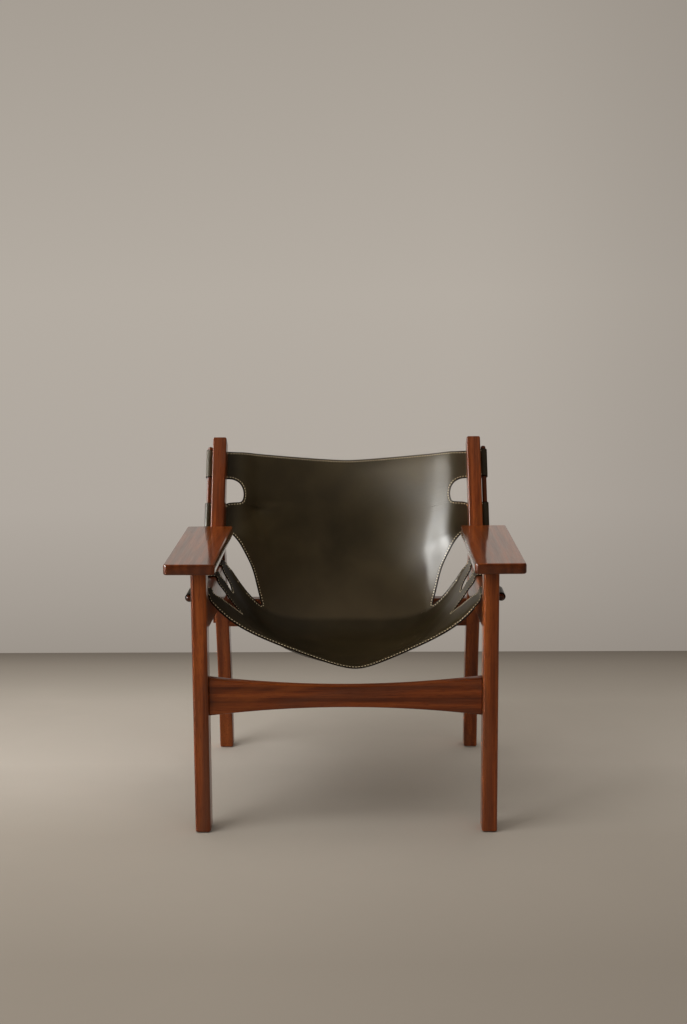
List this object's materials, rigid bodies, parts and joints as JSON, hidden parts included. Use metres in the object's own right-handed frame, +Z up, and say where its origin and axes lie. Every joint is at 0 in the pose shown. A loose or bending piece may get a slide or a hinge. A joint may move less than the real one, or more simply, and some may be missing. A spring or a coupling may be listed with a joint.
{
  "type": "leather sling lounge chair",
  "caption": "Low lounge chair with a dark hardwood frame, flat wide arms and one stitched leather sling hung over the side rails and behind the back posts.",
  "frame": {"origin": "middle of the footprint, on the floor", "axes": "+Z up, +Y from the front edge to the back, +X to the right of a viewer who faces the front"},
  "size_m": [0.702, 0.6538, 0.734],
  "materials": {
    "frame_wood": "satin lacquer over reddish brown hardwood, grain along each piece",
    "rod_wood": "satin lacquer, turned",
    "peg_wood": "end grain, glued",
    "leather": "smooth dark olive brown saddle leather with a soft gloss and pale stitching",
    "glide_nylon": "moulded, matte"
  },
  "bodies": {
    "root": {"front_leg_right": "frame_wood", "front_leg_left": "frame_wood", "back_post_right": "frame_wood", "back_post_left": "frame_wood", "arm_right": "frame_wood", "arm_left": "frame_wood", "side_rail_right": "frame_wood", "side_rail_left": "frame_wood", "front_stretcher": "frame_wood", "rear_stretcher": "frame_wood", "seat_rod_right": "rod_wood", "seat_rod_left": "rod_wood", "back_rod_right": "rod_wood", "back_rod_left": "rod_wood", "leather_sling": "leather", "rail_front_peg_right": "peg_wood", "rail_front_peg_left": "peg_wood", "rail_rear_peg_right": "peg_wood", "rail_rear_peg_left": "peg_wood", "front_stretcher_peg_right": "peg_wood", "front_stretcher_peg_left": "peg_wood", "rear_stretcher_peg_right": "peg_wood", "rear_stretcher_peg_left": "peg_wood", "arm_front_dowel_1_right": "peg_wood", "arm_front_dowel_1_left": "peg_wood", "arm_front_dowel_2_right": "peg_wood", "arm_front_dowel_2_left": "peg_wood", "arm_rear_dowel_right": "peg_wood", "arm_rear_dowel_left": "peg_wood", "front_glide_right": "glide_nylon", "front_glide_left": "glide_nylon", "rear_glide_right": "glide_nylon", "rear_glide_left": "glide_nylon"}
  },
  "joints": []
}
